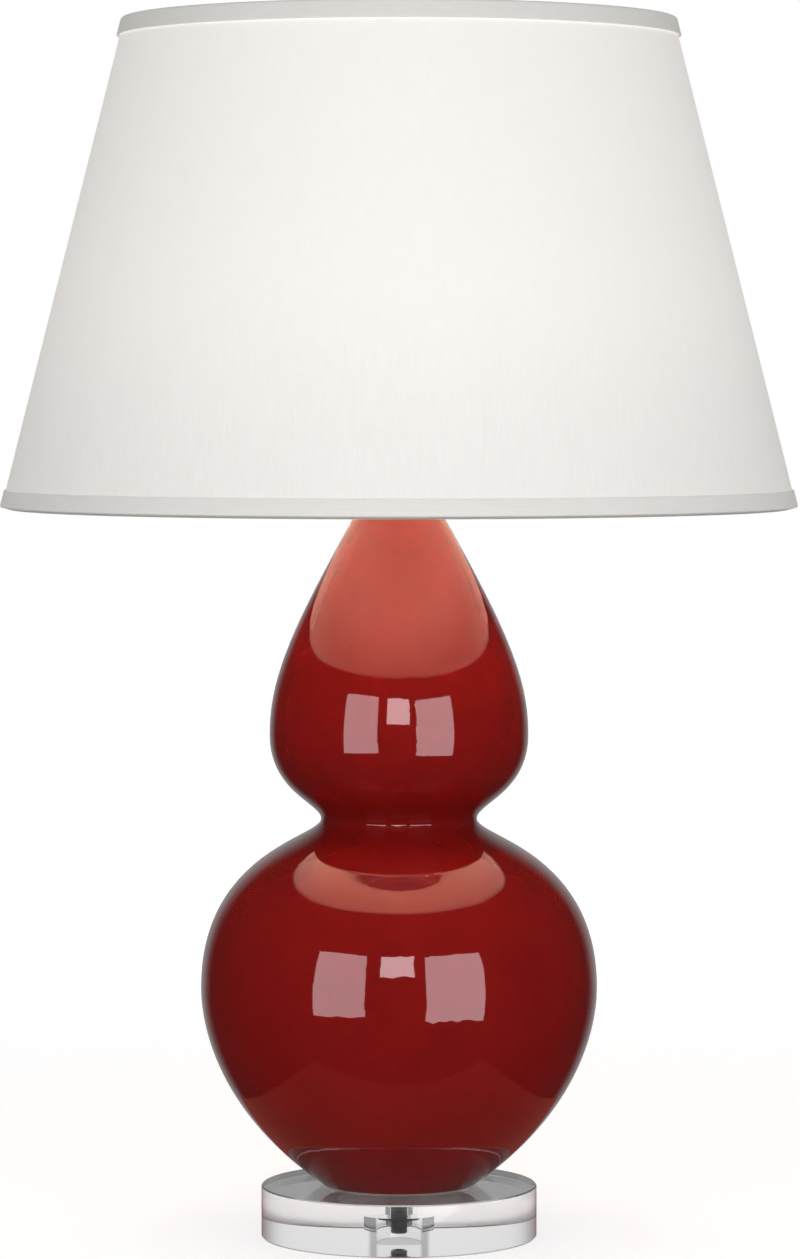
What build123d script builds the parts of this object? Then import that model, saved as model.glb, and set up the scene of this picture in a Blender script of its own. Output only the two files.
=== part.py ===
"""Double gourd table lamp: ceramic body on a clear disc base, with a detachable harp and an empire shade.

Millimetres, +Z up. The origin is the middle of the base's underside, on the lamp's axis.
Every piece is turned about that axis unless its function says otherwise. The harp stands in the XZ plane
and the switch knob points to the front, which is -Y.
"""

from build123d import *
import os
from math import atan2, cos, pi, radians, sin

os.makedirs("parts", exist_ok=True)

# ---- Clear base: a thick polished disc, counterbored from below for the nut ----
base_diameter = 167.8
base_thickness = 31.5
base_edge_break = 0.8
counterbore_diameter = 28.6
counterbore_depth = 16.0

# ---- Threaded pipe that clamps the whole lamp together ----
rod_diameter = 10.2
rod_wire_way = 6.8
rod_tail = 4.3
rod_clearance = 0.45
rod_end_break = 0.6
rod_slot_length = 16.0
rod_slot_width = 5.6
rod_slot_rise = 22.0

# ---- Nut, washers under the base ----
washer_diameter = 25.4
washer_thickness = 1.6
lock_washer_diameter = 16.0
lock_washer_thickness = 1.2
lock_washer_teeth = 10
lock_washer_tooth_depth = 1.6
nut_across_flats = 14.3
nut_thickness = 3.6

# ---- Ceramic double gourd: stacked heights and radii of its outline ----
foot_radius = 45.4
belly_radius = 120.5
waist_radius = 47.4
shoulder_radius = 78.6
mouth_radius = 18.2
belly_rise = 120.8
waist_rise = 102.7
shoulder_rise = 51.3
neck_rise = 148.2
foot_slope = 34.7
neck_slope = 60.5
gourd_wall = 5.0
gourd_floor = 6.0
foot_ring_width = 7.5
foot_recess = 2.0
foot_edge_radius = 0.9
mouth_edge_radius = 1.2
mouth_bore_radius = 12.9

# How far each stretch of the outline keeps its starting and closing direction, as a share of its rise.
foot_hold, belly_hold_below = 0.68, 0.165
belly_hold_above, waist_hold_below = 0.808, 0.117
waist_hold_above, shoulder_hold_below = 0.19, 0.69
shoulder_hold_above, neck_hold = 0.242, 0.64

# ---- Cord bushing in the back of the ceramic, just above the foot ----
bushing_place = 0.32
bushing_body_radius = 6.2
bushing_clearance = 0.2
bushing_bore_radius = 3.7
bushing_flange_radius = 9.0
bushing_flange_thickness = 2.2
bushing_lip_radius = 7.6
bushing_lip_thickness = 1.8
bushing_lip_gap = 0.5

# ---- Centring ring, vase cap and neck ----
ring_flange_thickness = 1.5
ring_flange_inset = 1.6
ring_plug_depth = 5.0
ring_plug_clearance = 0.3
cap_sheet = 1.2
cap_height = 6.5
cap_overhang = 3.3
cap_lip_drop = 2.2
cap_crown_radius = 9.4
cap_seat_width = 5.2
neck_radius = 8.0
neck_length = 19.5
neck_bead = 1.1
neck_bead_height = 2.4

# ---- Harp saddle, ferrules and harp ----
saddle_strip = 2.0
saddle_width = 13.0
saddle_half_span = 28.0
saddle_corner = 6.0
saddle_rise = 2.0
collar_radius = 4.6
collar_height = 2.0
post_radius = 3.1
post_foot = 2.0
post_channel_height = 10.0
harp_wire = 3.2
harp_wire_clearance = 0.3
harp_height = 229.0
harp_half_width = 57.0
harp_leg = 32.0
harp_flare = 36.0
harp_shoulder_drop = 54.0
harp_top_half_width = 29.5
harp_foot_bend, harp_low_bend, harp_high_bend, harp_top_bend = 34.0, 60.0, 75.0, 26.0
ferrule_length = 13.5
ferrule_wall = 0.9
ferrule_clearance = 0.3
ferrule_bead = 0.6
top_plate_length = 26.0
top_plate_width = 9.6
top_plate_sheet = 1.6
top_plate_flange = 1.2
top_plate_flange_drop = 3.0
seam_gap = 0.05
stud_diameter = 6.35
stud_length = 16.0
stud_shank_radius = 2.1
stud_end_break = 0.8

# ---- Lamp socket with a turn switch ----
cap_collar_radius = 8.0
cap_collar_height = 5.5
socket_cap_height = 16.0
socket_cap_rim_radius = 17.4
socket_sheet = 0.7
shell_radius = 16.2
shell_length = 48.0
shell_seat = 9.6
shell_lip = 0.8
shell_bead_height = 12.0
sleeve_gap = 0.3
sleeve_wall = 0.9
interior_gap = 0.3
interior_lift = 3.2
interior_height = 20.0
screw_shell_radius = 13.9
screw_shell_sheet = 0.4
screw_shell_height = 24.0
contact_radius = 4.0
contact_thickness = 1.6
terminal_head_radius = 3.2
terminal_head_height = 1.6
terminal_shank_radius = 1.6
terminal_shank_length = 5.0
terminal_pocket_depth = 3.4
terminal_pocket_width = 8.6
set_screw_radius = 1.5
set_screw_head_radius = 2.3
set_screw_head_height = 1.4
set_screw_gap = 0.1
switch_height = 25.0
switch_bushing_radius = 4.2
switch_bushing_reach = 20.5
switch_window_clearance = 0.6
switch_shaft_radius = 1.6
switch_shaft_clearance = 0.1
switch_shaft_depth = 8.0
knob_gap = 0.4
knob_length = 13.0
knob_base_radius = 7.2
knob_tip_radius = 5.2
knob_bore_clearance = 0.03
knob_tip_wall = 2.5
knob_flutes = 14
knob_flute_radius = 0.9

# ---- Bulb ----
bulb_base_radius = 13.0
bulb_base_sheet = 0.4
bulb_base_length = 21.0
bulb_insulator_height = 3.2
bulb_insulator_radius = 10.0
bulb_contact_radius = 4.4
bulb_contact_clearance = 0.1
bulb_rest_gap = 0.2
bulb_radius = 34.0
bulb_neck_clearance = 0.15
bulb_neck_tuck = 4.0
bulb_shoulder_rise = 62.0
bulb_dome_rise = 31.0
bulb_glass_wall = 1.0
bulb_thread_pitch = 25.4 / 7
bulb_turns = 5

# ---- Shade: empire cone, measured over its trims ----
shade_bottom_diameter = 482.6
shade_top_diameter = 333.6
shade_height = 293.3
shade_recess = 27.2
trim_cloth = 0.9
trim_height = 10.4
trim_leg_height = 8.0
fabric_thickness = 0.6
liner_thickness = 0.8
layer_gap = 0.15
shade_wire = 3.8
arm_count = 3
arm_bend = 9.0
arm_bend_inset = 14.0
arm_notch_clearance = 0.3
hub_radius = 11.0
hub_thickness = 4.2
hub_bore_clearance = 0.325

# ---- Finial and its threaded insert ----
finial_gap = 0.2
insert_radius = 4.5
insert_length = 14.0
insert_clearance = 0.1
finial_skirt_radius = 8.5
finial_waist_radius = 6.0
finial_skirt_height = 3.2
finial_waist_height = 8.2
finial_ball_radius = 10.5
finial_height = 31.0
finial_thread_pitch = 25.4 / 27
finial_turns = 12

# ---- Levels, worked out from the base upwards ----
counterbore_ceiling = counterbore_depth
washer_bottom = counterbore_ceiling - washer_thickness
lock_washer_bottom = washer_bottom - lock_washer_thickness
nut_bottom = lock_washer_bottom - nut_thickness
rod_bottom = nut_bottom - rod_tail
rod_radius = rod_diameter / 2
rod_hole_radius = rod_radius + rod_clearance
foot_level = base_thickness
belly_level = foot_level + belly_rise
waist_level = belly_level + waist_rise
shoulder_level = waist_level + shoulder_rise
mouth_level = shoulder_level + neck_rise
cap_seat = mouth_level + ring_flange_thickness
cap_top = cap_seat + cap_height
saddle_level = cap_top + neck_length
socket_level = saddle_level + saddle_strip
collar_level = saddle_level + saddle_strip / 2 + saddle_corner + saddle_rise
post_level = collar_level + collar_height
channel_level = post_level + post_foot
rod_top = socket_level + cap_collar_height + rod_end_break
plate_top = saddle_level + harp_height
shell_level = socket_level + shell_seat
interior_level = shell_level + interior_lift
screw_shell_level = interior_level + interior_height
contact_top = screw_shell_level + contact_thickness
bulb_level = contact_top + bulb_rest_gap
bulb_base_level = bulb_level + bulb_insulator_height
bulb_base_top = bulb_base_level + bulb_base_length
switch_level = socket_level + switch_height
finial_level = plate_top + hub_thickness + finial_gap
shade_top = plate_top + shade_recess
shade_bottom = shade_top - shade_height

# ---- The cone of the shade: radius over the trims at a height, and depth below that surface ----
shade_lean = atan2((shade_bottom_diameter - shade_top_diameter) / 2, shade_height)
fabric_depth = trim_cloth + layer_gap
liner_depth = fabric_depth + fabric_thickness + layer_gap
wire_depth = liner_depth + liner_thickness + layer_gap + shade_wire / 2
leg_depth = wire_depth + shade_wire / 2 + layer_gap


def shade_radius(level, depth=0.0):
    """Radius at a height of the cone that lies a depth, square to the wall, inside the trims' outer face."""
    share = (level - shade_bottom) / shade_height
    over_trims = (shade_bottom_diameter * (1 - share) + shade_top_diameter * share) / 2
    return over_trims - depth / cos(shade_lean)


# ---- Small shared operations ----
def turned(*outline):
    """Solid turned about the lamp's axis from (radius, level) corners."""
    return revolve(make_face(Plane.XZ * Polyline(*outline, close=True)), Axis.Z)


def tube(outer, inner, low, high):
    """Straight ring about the lamp's axis."""
    return turned((inner, low), (outer, low), (outer, high), (inner, high))


def upright(radius, low, high):
    """Upright round bar on the lamp's axis."""
    return Pos(0, 0, low) * extrude(Circle(radius), high - low)


def rod_along(start, direction, radius, length):
    """Round bar from a point along a direction."""
    return extrude(Plane(origin=start, z_dir=direction) * Circle(radius), length)


def write(name, shape):
    """One file per named piece, or per group of alike pieces."""
    export_step(shape, f"parts/{name}.step")
    print(name, round(shape.volume), "mm3")


# ---- Base and the nut stack under it ----
def base_disc():
    disc = extrude(Circle(base_diameter / 2), base_thickness)
    rims = disc.edges().filter_by(GeomType.CIRCLE)
    disc = chamfer(rims, base_edge_break)
    disc -= extrude(Circle(rod_hole_radius), base_thickness)
    return disc - extrude(Circle(counterbore_diameter / 2), counterbore_depth)


def base_washer():
    return tube(washer_diameter / 2, rod_hole_radius, washer_bottom, counterbore_ceiling)


def base_lock_washer():
    """Toothed washer: notches cut round its rim."""
    ring = Circle(lock_washer_diameter / 2) - Circle(rod_hole_radius)
    tooth_pitch = pi * lock_washer_diameter / lock_washer_teeth
    notch = Rectangle(2 * lock_washer_tooth_depth, tooth_pitch / 2)
    ring -= PolarLocations(lock_washer_diameter / 2, lock_washer_teeth) * notch
    return Pos(0, 0, lock_washer_bottom) * extrude(ring, lock_washer_thickness)


def base_nut():
    """Hexagon nut, its corners turned off on both faces."""
    hexagon = RegularPolygon(nut_across_flats / 2, 6, major_radius=False)
    nut = Pos(0, 0, nut_bottom) * extrude(hexagon, nut_thickness)
    corner = nut_across_flats / 2 / cos(pi / 6)
    rise = (corner - nut_across_flats / 2) / 2
    nut &= turned(
        (0, nut_bottom),
        (nut_across_flats / 2, nut_bottom),
        (corner, nut_bottom + rise),
        (corner, lock_washer_bottom - rise),
        (nut_across_flats / 2, lock_washer_bottom),
        (0, lock_washer_bottom),
    )
    return nut - upright(rod_radius + seam_gap, nut_bottom, lock_washer_bottom)


def lamp_rod():
    """Threaded pipe with a slot at the back, where the cord comes in from the bushing."""
    inner, edge = rod_wire_way / 2, rod_radius - rod_end_break
    rod = turned(
        (inner, rod_bottom),
        (edge, rod_bottom),
        (rod_radius, rod_bottom + rod_end_break),
        (rod_radius, rod_top - rod_end_break),
        (edge, rod_top),
        (inner, rod_top),
    )
    slot = SlotOverall(rod_slot_length, rod_slot_width, rotation=90)
    slot_level = foot_level + foot_recess + gourd_floor + rod_slot_rise
    return rod - extrude(Plane(origin=(0, 0, slot_level), z_dir=(0, 1, 0), x_dir=(1, 0, 0)) * slot, rod_radius)


# ---- Ceramic body ----
def gourd_outline():
    """Outline from the foot to the mouth as four stretches that meet upright at belly, waist and shoulder."""
    foot = Vector(foot_radius, foot_level)
    belly = Vector(belly_radius, belly_level)
    waist = Vector(waist_radius, waist_level)
    shoulder = Vector(shoulder_radius, shoulder_level)
    mouth = Vector(mouth_radius, mouth_level)
    up = Vector(0, 1)
    foot_way = Vector(cos(radians(foot_slope)), sin(radians(foot_slope)))
    neck_way = Vector(-cos(radians(neck_slope)), sin(radians(neck_slope)))
    return [
        Bezier(
            foot,
            foot + foot_way * foot_hold * belly_rise,
            belly - up * belly_hold_below * belly_rise,
            belly,
        ),
        Bezier(
            belly,
            belly + up * belly_hold_above * waist_rise,
            waist - up * waist_hold_below * waist_rise,
            waist,
        ),
        Bezier(
            waist,
            waist + up * waist_hold_above * shoulder_rise,
            shoulder - up * shoulder_hold_below * shoulder_rise,
            shoulder,
        ),
        Bezier(
            shoulder,
            shoulder + up * shoulder_hold_above * neck_rise,
            mouth - neck_way * neck_hold * neck_rise,
            mouth,
        ),
    ]


def inner_outline(outline):
    """The outline moved inwards by the wall, each stretch a curve through places square to the outer one."""
    shares = (0, 0.25, 0.5, 0.75, 1)
    stretches = []
    for outer in outline:
        ways = [outer % share for share in shares]
        places = [outer @ share + Vector(-way.Y, way.X) * gourd_wall for share, way in zip(shares, ways)]
        stretches.append(Spline(*places, tangents=[ways[0], ways[-1]]))
    return stretches


def under_outline(outline):
    """Full solid under an outline, closed along the lamp's axis."""
    start, end = outline[0] @ 0, outline[-1] @ 1
    closing = Polyline(end, (0, end.Y), (0, start.Y), start)
    return revolve(Plane.XZ * make_face([*outline, *closing.edges()]), Axis.Z)


def round_edge(shape, radius, level, size):
    """Round the circular edge that has a radius and lies at a height."""
    edges = [
        edge
        for edge in shape.edges().filter_by(GeomType.CIRCLE)
        if abs(edge.radius - radius) < seam_gap and abs(edge.arc_center.Z - level) < seam_gap
    ]
    return fillet(edges, size)


def bushing_plane():
    """Plane on the ceramic's outside at the back, its Z square to the wall and pointing out."""
    lower = gourd_outline()[0]
    place, way = lower @ bushing_place, lower % bushing_place
    return Plane(origin=(0, place.X, place.Y), x_dir=(1, 0, 0), z_dir=(0, way.Y, -way.X))


def gourd_body():
    outline = gourd_outline()
    body = under_outline(outline)
    body = round_edge(body, foot_radius, foot_level, foot_edge_radius)
    body = round_edge(body, mouth_radius, mouth_level, mouth_edge_radius)
    recess_top = foot_level + foot_recess
    hollow = under_outline(inner_outline(outline))
    hollow -= extrude(Circle(belly_radius), recess_top + gourd_floor)
    mouth_bore = Pos(0, 0, mouth_level - 2 * gourd_wall) * extrude(Circle(mouth_bore_radius), 2 * gourd_wall)
    body -= hollow + mouth_bore
    body -= extrude(Circle(foot_radius - foot_ring_width), recess_top)
    body -= extrude(Circle(rod_hole_radius), recess_top + 2 * gourd_floor)
    cord_hole = extrude(bushing_plane() * Circle(bushing_body_radius + bushing_clearance), 3 * gourd_wall, both=True)
    return body - cord_hole


def cord_bushing():
    """Rubber bushing: flange outside the wall, lip inside it, bore for the cord."""
    outside = revolve(
        Plane.XZ
        * make_face(
            Polyline(
                (bushing_bore_radius, bushing_flange_thickness),
                (bushing_bore_radius, -gourd_wall - bushing_lip_gap - bushing_lip_thickness),
                (bushing_body_radius, -gourd_wall - bushing_lip_gap - bushing_lip_thickness),
                (bushing_lip_radius, -gourd_wall - bushing_lip_gap),
                (bushing_body_radius, -gourd_wall - bushing_lip_gap),
                (bushing_body_radius, 0),
                (bushing_flange_radius, 0),
                (bushing_flange_radius, bushing_flange_thickness / 2),
                (bushing_body_radius, bushing_flange_thickness),
                close=True,
            )
        ),
        Axis.Z,
    )
    return bushing_plane() * outside


# ---- Centring ring, cap and neck on the mouth ----
def neck_ring():
    """Flanged ring that centres the pipe in the ceramic's mouth."""
    plug_radius = mouth_bore_radius - ring_plug_clearance
    flange_radius = mouth_radius - ring_flange_inset
    return turned(
        (rod_hole_radius, mouth_level - ring_plug_depth),
        (plug_radius, mouth_level - ring_plug_depth),
        (plug_radius, mouth_level),
        (flange_radius, mouth_level),
        (flange_radius, cap_seat),
        (rod_hole_radius, cap_seat),
    )


def vase_cap():
    """Stamped cap: a turned-down lip, a flat seat and a raised crown, all of one sheet."""
    lip_radius = mouth_radius + cap_overhang
    crown_foot = mouth_radius - cap_seat_width
    lip_low = cap_seat - cap_lip_drop
    outline = turned(
        (rod_hole_radius, cap_top),
        (cap_crown_radius, cap_top),
        (crown_foot + cap_sheet, cap_seat + cap_sheet),
        (lip_radius, cap_seat + cap_sheet),
        (lip_radius, lip_low),
        (lip_radius - cap_sheet, lip_low),
        (lip_radius - cap_sheet, cap_seat),
        (crown_foot, cap_seat),
        (cap_crown_radius - cap_sheet, cap_top - cap_sheet),
        (rod_hole_radius, cap_top - cap_sheet),
    )
    outline = round_edge(outline, lip_radius, cap_seat + cap_sheet, cap_sheet / 2)
    return round_edge(outline, cap_crown_radius, cap_top, cap_sheet)


def neck_tube():
    """Turned spacer with a bead at each end."""
    waist = neck_radius - neck_bead
    return turned(
        (rod_hole_radius, cap_top),
        (neck_radius, cap_top),
        (neck_radius, cap_top + neck_bead_height),
        (waist, cap_top + neck_bead_height + neck_bead),
        (waist, saddle_level - neck_bead_height - neck_bead),
        (neck_radius, saddle_level - neck_bead_height),
        (neck_radius, saddle_level),
        (rod_hole_radius, saddle_level),
    )


# ---- Harp and what it stands on ----
def harp_saddle():
    """Bent strip whose two ends carry a collar and a channelled post for the harp's feet."""
    middle = saddle_level + saddle_strip / 2
    path = FilletPolyline(
        (-saddle_half_span, collar_level),
        (-saddle_half_span, middle),
        (saddle_half_span, middle),
        (saddle_half_span, collar_level),
        radius=saddle_corner,
    )
    strip = extrude(Plane.XZ * trace(path, saddle_strip), saddle_width / 2, both=True)
    strip -= Pos(0, 0, saddle_level) * extrude(Circle(rod_hole_radius), saddle_strip)
    channel_radius = harp_wire / 2 + harp_wire_clearance
    for side in (-1, 1):
        centre = Pos(side * saddle_half_span, 0, 0)
        strip += centre * upright(collar_radius, collar_level, post_level)
        strip += centre * upright(post_radius, post_level, channel_level + post_channel_height)
        channel = upright(channel_radius, channel_level, channel_level + post_channel_height)
        mouth = Pos(side * post_radius, 0, channel_level + post_channel_height / 2) * Box(
            2 * post_radius, 2 * channel_radius, post_channel_height
        )
        strip -= centre * (channel + mouth)
    return strip


def harp_path():
    """Line of the harp's wire: up from one foot, round the bulb, over the top and down to the other foot."""
    top = plate_top - top_plate_sheet - seam_gap - harp_wire / 2
    leg_top = channel_level + harp_leg
    half = [
        (saddle_half_span, channel_level),
        (saddle_half_span, leg_top),
        (harp_half_width, leg_top + harp_flare),
        (harp_half_width, top - harp_shoulder_drop),
        (harp_top_half_width, top),
    ]
    far_half = [(-across, level) for across, level in reversed(half)]
    bends = [harp_foot_bend, harp_low_bend, harp_high_bend, harp_top_bend]
    return Plane.XZ * FilletPolyline(*half, *far_half, radius=bends + bends[::-1])


def harp_loop():
    path = harp_path()
    return sweep(Plane(origin=path @ 0, z_dir=path % 0) * Circle(harp_wire / 2), path)


def harp_ferrule(side):
    """Sleeve with a bead at each end that locks one foot of the harp in its post."""
    inner = post_radius + ferrule_clearance
    outer = inner + ferrule_wall
    bead = outer + ferrule_bead
    top = post_level + ferrule_length
    sleeve = turned(
        (inner, post_level),
        (outer, post_level),
        (bead, post_level + ferrule_bead),
        (bead, post_level + 2 * ferrule_bead),
        (outer, post_level + 3 * ferrule_bead),
        (outer, top - 3 * ferrule_bead),
        (bead, top - 2 * ferrule_bead),
        (bead, top - ferrule_bead),
        (outer, top),
        (inner, top),
    )
    return Pos(side * saddle_half_span, 0, 0) * sleeve


def harp_top_plate():
    """Folded plate that straddles the wire at the top; the shade's hub rests on it."""
    half_gap = harp_wire / 2 + seam_gap
    low = plate_top - top_plate_sheet - top_plate_flange_drop
    plate = Pos(0, 0, plate_top - top_plate_sheet / 2) * Box(top_plate_length, top_plate_width, top_plate_sheet)
    for side in (-1, 1):
        flange = Box(top_plate_length, top_plate_flange, top_plate_flange_drop)
        middle = low + top_plate_flange_drop / 2
        plate += Pos(0, side * (half_gap + top_plate_flange / 2), middle) * flange
    corners = plate.edges().filter_by(Axis.Z).group_by(Axis.Z)[-1]
    plate = fillet(corners, top_plate_width / 4)
    return plate - upright(stud_shank_radius + seam_gap, plate_top - top_plate_sheet, plate_top)


def harp_stud():
    """Stud riveted in the top plate, which the finial screws on to."""
    radius = stud_diameter / 2
    return turned(
        (0, plate_top - top_plate_sheet),
        (stud_shank_radius, plate_top - top_plate_sheet),
        (stud_shank_radius, plate_top),
        (radius, plate_top),
        (radius, plate_top + stud_length - stud_end_break),
        (radius - stud_end_break, plate_top + stud_length),
        (0, plate_top + stud_length),
    )


# ---- Socket ----
def socket_cap():
    """Pressed cup on a threaded collar, which takes the set screw at the back."""
    collar_top = socket_level + cap_collar_height
    rim_level = socket_level + socket_cap_height
    flare_level = shell_level - socket_sheet
    inner_rim = socket_cap_rim_radius - socket_sheet
    cup = turned(
        (rod_radius + seam_gap, socket_level),
        (cap_collar_radius, socket_level),
        (cap_collar_radius, collar_top),
        (socket_cap_rim_radius, flare_level),
        (socket_cap_rim_radius, rim_level),
        (inner_rim, rim_level),
        (inner_rim, shell_level),
        (cap_collar_radius - socket_sheet, collar_top + socket_sheet),
        (rod_radius + seam_gap, collar_top + socket_sheet),
    )
    cup = round_edge(cup, socket_cap_rim_radius, flare_level, 2 * socket_sheet)
    return cup - rod_along(
        (0, rod_radius, socket_level + cap_collar_height / 2),
        (0, 1, 0),
        set_screw_radius + seam_gap,
        cap_collar_radius,
    )


def socket_set_screw():
    level = socket_level + cap_collar_height / 2
    shank = rod_along(
        (0, rod_radius + set_screw_gap, level), (0, 1, 0), set_screw_radius, cap_collar_radius - rod_radius
    )
    head = rod_along(
        (0, cap_collar_radius + set_screw_gap, level), (0, 1, 0), set_screw_head_radius, set_screw_head_height
    )
    slot = Pos(0, cap_collar_radius + set_screw_gap + set_screw_head_height, level) * Box(
        2 * set_screw_head_radius, set_screw_head_height, set_screw_head_height / 2
    )
    return shank + head - slot


def switch_window(high_radius, low_radius):
    """Window for the switch bushing in a wall between two radii, open down to the wall's lower end."""
    radius = switch_bushing_radius + switch_window_clearance
    depth = high_radius - low_radius
    middle = -(high_radius + low_radius) / 2
    hole = Pos(0, middle, switch_level) * Rot(90, 0, 0) * Cylinder(radius, 2 * depth)
    slot_height = switch_level - shell_level
    return hole + Pos(0, middle, shell_level + slot_height / 2) * Box(2 * radius, 2 * depth, slot_height)


def socket_shell():
    """Outer metal shell, beaded near its foot, with a rolled lip round the mouth."""
    inner = shell_radius - socket_sheet
    top = shell_level + shell_length
    bead = shell_level + shell_bead_height
    lip = shell_radius + shell_lip
    shell = turned(
        (inner, shell_level),
        (shell_radius, shell_level),
        (shell_radius, top - 3 * shell_lip),
        (lip, top - 2 * shell_lip),
        (lip, top - shell_lip),
        (shell_radius, top),
        (inner, top),
    )
    shell += tube(shell_radius + shell_lip / 2, inner, bead, bead + shell_lip)
    return shell - switch_window(shell_radius + shell_lip, inner - sleeve_gap)


def socket_sleeve():
    """Insulating liner inside the shell."""
    outer = shell_radius - socket_sheet - sleeve_gap
    inner = outer - sleeve_wall
    sleeve = tube(outer, inner, shell_level, shell_level + shell_length - 2 * shell_lip)
    return sleeve - switch_window(outer + sleeve_gap / 2, inner - sleeve_gap)


def interior_radius():
    """Radius of the moulded body that fills the sleeve's lower half."""
    return shell_radius - socket_sheet - sleeve_gap - sleeve_wall - interior_gap


def socket_interior():
    """Moulded body: switch chamber, bore for the switch shaft and a pocket each side for a terminal."""
    radius = interior_radius()
    body = upright(radius, interior_level, screw_shell_level)
    pocket = Box(2 * terminal_pocket_depth, terminal_pocket_width, terminal_pocket_width)
    middle = interior_level + interior_height / 2
    for side in (-1, 1):
        body -= Pos(side * radius, 0, middle) * pocket
        face = radius - terminal_pocket_depth
        body -= rod_along(
            (side * face, 0, middle), (-side, 0, 0), terminal_shank_radius + seam_gap, terminal_shank_length
        )
    shaft_bore = switch_shaft_radius + switch_shaft_clearance
    start = (0, -switch_shaft_depth + knob_gap, switch_level)
    return body - rod_along(start, (0, -1, 0), shaft_bore, radius)


def terminal_screws():
    """The two binding screws, one in each side pocket."""
    face = interior_radius() - terminal_pocket_depth
    middle = interior_level + interior_height / 2
    screws = []
    for side in (-1, 1):
        out = (side, 0, 0)
        head = rod_along((side * face, 0, middle), out, terminal_head_radius, terminal_head_height)
        shank = rod_along(
            (side * (face - terminal_shank_length + seam_gap), 0, middle),
            out,
            terminal_shank_radius,
            terminal_shank_length,
        )
        slot = Pos(side * (face + terminal_head_height), 0, middle) * Box(
            terminal_head_height, 2 * terminal_head_radius, terminal_head_height / 2
        )
        screws.append(head + shank - slot)
    return Compound(children=screws)


def screw_shell():
    """Thin cup that the bulb's base screws into."""
    low, high = screw_shell_level, screw_shell_level + screw_shell_height
    inner = screw_shell_radius - screw_shell_sheet
    return turned(
        (contact_radius + sleeve_wall, low),
        (screw_shell_radius, low),
        (screw_shell_radius, high),
        (inner, high),
        (inner, low + screw_shell_sheet),
        (contact_radius + sleeve_wall, low + screw_shell_sheet),
    )


def centre_contact():
    return upright(contact_radius, screw_shell_level, contact_top)


def switch_bushing():
    """Threaded bushing that holds the switch in the shell's window."""
    start = (0, -interior_radius(), switch_level)
    length = switch_bushing_reach - interior_radius()
    bar = rod_along(start, (0, -1, 0), switch_bushing_radius, length)
    return bar - rod_along(start, (0, -1, 0), switch_shaft_radius + switch_shaft_clearance, length)


def switch_shaft():
    """Shaft from the switch chamber, through the bushing, to the bottom of the knob's bore."""
    length = switch_bushing_reach + knob_length - knob_tip_wall - switch_shaft_depth
    return rod_along((0, -switch_shaft_depth, switch_level), (0, -1, 0), switch_shaft_radius, length)


def switch_knob():
    """Fluted, tapered knob with a blind bore on the switch shaft."""
    base, tip = knob_base_radius, knob_tip_radius
    knob = revolve(
        make_face(
            Plane.XZ
            * Polyline(
                (0, 0),
                (base - knob_flute_radius, 0),
                (base, knob_flute_radius),
                (tip, knob_length - knob_flute_radius),
                (tip - knob_flute_radius, knob_length),
                (0, knob_length),
                close=True,
            )
        ),
        Axis.Z,
    )
    flute = extrude(Pos(base, 0) * Circle(knob_flute_radius), knob_length)
    knob -= [Rot(0, 0, 360 / knob_flutes * turn) * flute for turn in range(knob_flutes)]
    knob -= upright(switch_shaft_radius + knob_bore_clearance, 0, knob_length - knob_tip_wall)
    start = (0, -switch_bushing_reach - knob_gap, switch_level)
    return Plane(origin=start, z_dir=(0, -1, 0)) * knob


# ---- Bulb ----
def bulb_contact():
    """Centre contact button of the bulb."""
    return upright(bulb_contact_radius, bulb_level, bulb_base_level)


def bulb_insulator():
    """Moulded cone between the contact button and the screw base."""
    bore = bulb_contact_radius + bulb_contact_clearance
    low = bulb_level + bulb_insulator_height / 3
    return turned(
        (bore, low),
        (bulb_contact_radius + bulb_insulator_height / 2, low),
        (bulb_insulator_radius, bulb_base_level),
        (bore, bulb_base_level),
    )


def bulb_screw_base():
    """Metal cup of the bulb with its edge rolled in round the glass."""
    inner = bulb_base_radius - bulb_base_sheet
    return turned(
        (bulb_contact_radius + bulb_contact_clearance, bulb_base_level),
        (bulb_insulator_radius, bulb_base_level),
        (bulb_base_radius, bulb_base_level + bulb_base_radius - bulb_insulator_radius),
        (bulb_base_radius, bulb_base_top),
        (inner, bulb_base_top),
        (inner, bulb_base_level + bulb_base_radius - bulb_insulator_radius + bulb_base_sheet),
        (bulb_insulator_radius, bulb_base_level + bulb_base_sheet),
        (bulb_contact_radius + bulb_contact_clearance, bulb_base_level + bulb_base_sheet),
    )


def bulb_glass():
    """Frosted envelope: straight neck, flare and dome, hollow inside."""
    neck = bulb_base_radius - bulb_base_sheet - bulb_neck_clearance
    low = bulb_base_top - bulb_neck_tuck
    belly = bulb_base_top + bulb_shoulder_rise
    top = belly + bulb_dome_rise
    dome_hold = 0.5523

    def outline(wall):
        """Neck, flare and dome, moved inwards by a wall."""
        across, crown = bulb_radius - wall, top - wall
        return [
            Line((neck - wall, low), (neck - wall, bulb_base_top)),
            Bezier(
                (neck - wall, bulb_base_top),
                (neck - wall, bulb_base_top + bulb_shoulder_rise / 2),
                (across, belly - bulb_shoulder_rise / 2),
                (across, belly),
            ),
            Bezier(
                (across, belly),
                (across, belly + dome_hold * (crown - belly)),
                (dome_hold * across, crown),
                (0, crown),
            ),
        ]

    def full(wall):
        edges = outline(wall)
        closing = Polyline(edges[-1] @ 1, (0, low), edges[0] @ 0)
        return revolve(Plane.XZ * make_face([*edges, *closing.edges()]), Axis.Z)

    return full(0) - full(bulb_glass_wall)


# ---- Shade ----
def shade_band(depth_out, depth_in, low, high):
    """Ring of the shade's cone between two depths and two heights."""
    return turned(
        (shade_radius(low, depth_in), low),
        (shade_radius(low, depth_out), low),
        (shade_radius(high, depth_out), high),
        (shade_radius(high, depth_in), high),
    )


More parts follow.
